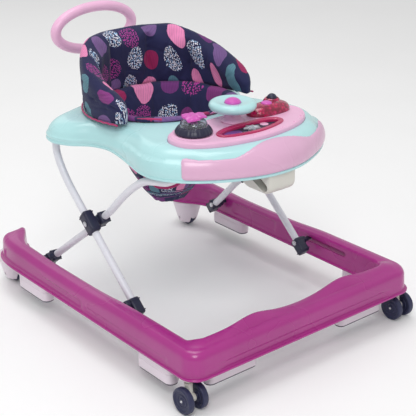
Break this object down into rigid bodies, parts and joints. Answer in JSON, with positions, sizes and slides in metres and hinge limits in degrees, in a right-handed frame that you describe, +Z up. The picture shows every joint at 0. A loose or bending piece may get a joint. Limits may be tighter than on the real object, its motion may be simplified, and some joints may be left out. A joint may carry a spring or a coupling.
{
  "type": "baby walker",
  "caption": "Baby walker with a U-shaped wheeled base, scissor leg frame, padded sling seat, toy tray and rear push handle.",
  "frame": {"origin": "on the floor, under the middle of the bounding box", "axes": "+Z up, -Y to the front (the tray and bumper), +X to the right seen from behind the push handle"},
  "size_m": [0.63, 0.76, 0.62],
  "materials": {
    "orchid_gloss": "gloss",
    "stop_plastic": "satin",
    "cream_plastic": "satin",
    "steel": "brushed",
    "wheel_plastic": "satin",
    "tube_paint": "satin",
    "navy_plastic": "satin",
    "mint_gloss": "gloss",
    "lilac_gloss": "gloss",
    "pink_plastic": "semi-gloss",
    "seat_fabric": "printed woven cloth over padding",
    "clear_plastic": "clear",
    "magenta_plastic": "gloss",
    "crimson_plastic": "gloss, slightly translucent",
    "silver_plastic": "metallic",
    "electronics_plastic": "matte"
  },
  "bodies": {
    "base": {"base_shell": "orchid_gloss", "stop_block_side_front_left": "stop_plastic", "stop_block_side_front_right": "stop_plastic", "stop_block_side_rear_left": "stop_plastic", "stop_block_side_rear_right": "stop_plastic", "stop_block_front_left": "stop_plastic", "stop_block_front_right": "stop_plastic", "rear_wheel_housing_left": "stop_plastic", "rear_wheel_housing_right": "stop_plastic", "rear_axle_left": "steel", "rear_axle_right": "steel", "caster_socket_left": "cream_plastic", "caster_socket_right": "cream_plastic"},
    "inner_legs": {"inner_leg_frame": "tube_paint", "lower_clip_inner_left": "navy_plastic", "lower_clip_inner_right": "navy_plastic", "cross_saddle_left": "navy_plastic", "cross_saddle_right": "navy_plastic", "cross_rivet_left": "steel", "cross_rivet_right": "steel"},
    "tray": {"tray_shell": "mint_gloss", "bumper_panel": "lilac_gloss", "height_adjuster": "cream_plastic", "top_socket_left": "cream_plastic", "top_socket_right": "cream_plastic", "toy_panel": "pink_plastic", "window_bezel": "crimson_plastic", "window_floor": "navy_plastic", "dome_base": "navy_plastic", "clear_dome": "clear_plastic", "steering_column": "pink_plastic", "light_cover": "crimson_plastic", "battery_box": "electronics_plastic", "battery_lid": "electronics_plastic", "seat_back": "seat_fabric", "seat_sling": "seat_fabric", "handle_bracket": "mint_gloss", "push_handle": "pink_plastic"},
    "dome_knob": {"dome_knob": "magenta_plastic"},
    "steering_wheel": {"steering_wheel": "mint_gloss"},
    "horn_button": {"horn_button": "magenta_plastic"},
    "slider_figure": {"slider_figure": "silver_plastic"},
    "roller_ball": {"roller_ball": "navy_plastic"},
    "music_button": {"music_button": "magenta_plastic"},
    "outer_leg_left": {"outer_leg_left": "tube_paint", "lower_clip_outer_left": "navy_plastic", "cross_sleeve_left": "navy_plastic"},
    "caster_left": {"caster_fork_left": "cream_plastic", "caster_axle_left": "steel"},
    "caster_wheel_left_outer": {"caster_wheel_left_outer": "wheel_plastic"},
    "caster_wheel_left_inner": {"caster_wheel_left_inner": "wheel_plastic"},
    "rear_wheel_left": {"rear_wheel_left": "wheel_plastic"},
    "outer_leg_right": {"outer_leg_right": "tube_paint", "lower_clip_outer_right": "navy_plastic", "cross_sleeve_right": "navy_plastic"},
    "caster_right": {"caster_fork_right": "cream_plastic", "caster_axle_right": "steel"},
    "caster_wheel_right_outer": {"caster_wheel_right_outer": "wheel_plastic"},
    "caster_wheel_right_inner": {"caster_wheel_right_inner": "wheel_plastic"},
    "rear_wheel_right": {"rear_wheel_right": "wheel_plastic"}
  },
  "joints": [
    {"name": "frame_fold", "type": "hinge", "parent": "base", "child": "inner_legs", "pos_m": [0, 0.201, 0.106], "axis": [1, 0, 0], "range_deg": [0, 20]},
    {"name": "scissor_left", "type": "hinge", "parent": "inner_legs", "child": "outer_leg_left", "pos_m": [0, 0.053, 0.235], "axis": [1, 0, 0], "range_deg": [-40, 0]},
    {"name": "scissor_right", "type": "hinge", "parent": "inner_legs", "child": "outer_leg_right", "pos_m": [0, 0.053, 0.235], "axis": [1, 0, 0], "range_deg": [-40, 0]},
    {"name": "tray_level", "type": "hinge", "parent": "outer_leg_left", "child": "tray", "pos_m": [0, 0.171, 0.398], "axis": [1, 0, 0], "range_deg": [0, 20]},
    {"name": "caster_swivel_left", "type": "hinge", "parent": "base", "child": "caster_left", "pos_m": [-0.291, -0.345, 0.06], "axis": [0, 0, 1], "continuous": true},
    {"name": "caster_spin_left_outer", "type": "hinge", "parent": "caster_left", "child": "caster_wheel_left_outer", "pos_m": [-0.291, -0.352, 0.027], "axis": [1, 0, 0], "continuous": true},
    {"name": "caster_spin_left_inner", "type": "hinge", "parent": "caster_left", "child": "caster_wheel_left_inner", "pos_m": [-0.291, -0.352, 0.027], "axis": [1, 0, 0], "continuous": true},
    {"name": "rear_spin_left", "type": "hinge", "parent": "base", "child": "rear_wheel_left", "pos_m": [-0.259, 0.342, 0.024], "axis": [1, 0, 0], "continuous": true},
    {"name": "caster_swivel_right", "type": "hinge", "parent": "base", "child": "caster_right", "pos_m": [0.291, -0.345, 0.06], "axis": [0, 0, 1], "continuous": true},
    {"name": "caster_spin_right_outer", "type": "hinge", "parent": "caster_right", "child": "caster_wheel_right_outer", "pos_m": [0.291, -0.352, 0.027], "axis": [1, 0, 0], "continuous": true},
    {"name": "caster_spin_right_inner", "type": "hinge", "parent": "caster_right", "child": "caster_wheel_right_inner", "pos_m": [0.291, -0.352, 0.027], "axis": [1, 0, 0], "continuous": true},
    {"name": "rear_spin_right", "type": "hinge", "parent": "base", "child": "rear_wheel_right", "pos_m": [0.259, 0.342, 0.024], "axis": [1, 0, 0], "continuous": true},
    {"name": "wheel_turn", "type": "hinge", "parent": "tray", "child": "steering_wheel", "pos_m": [0, -0.131, 0.48], "axis": [0, 0, 1], "continuous": true},
    {"name": "horn_press", "type": "slide", "parent": "steering_wheel", "child": "horn_button", "axis": [0, 0, -1], "range_m": [0, 0.0022], "stiffness_N_per_m": 300, "springref_m": -0.002},
    {"name": "knob_turn", "type": "hinge", "parent": "tray", "child": "dome_knob", "pos_m": [-0.108, -0.139, 0.48], "axis": [0, 0, 1], "continuous": true},
    {"name": "figure_slide", "type": "slide", "parent": "tray", "child": "slider_figure", "axis": [1, 0, 0], "range_m": [-0.024, 0.024]},
    {"name": "ball_roll", "type": "hinge", "parent": "tray", "child": "roller_ball", "pos_m": [0.12, -0.118, 0.478], "axis": [0, 0, 1], "continuous": true},
    {"name": "music_press", "type": "slide", "parent": "tray", "child": "music_button", "axis": [0, 0, -1], "range_m": [0, 0.0022], "stiffness_N_per_m": 300, "springref_m": -0.002}
  ],
  "couplings": [
    {"joint": "scissor_left", "follows": "frame_fold", "ratio": -2},
    {"joint": "scissor_right", "follows": "frame_fold", "ratio": -2},
    {"joint": "tray_level", "follows": "frame_fold", "ratio": 1}
  ]
}
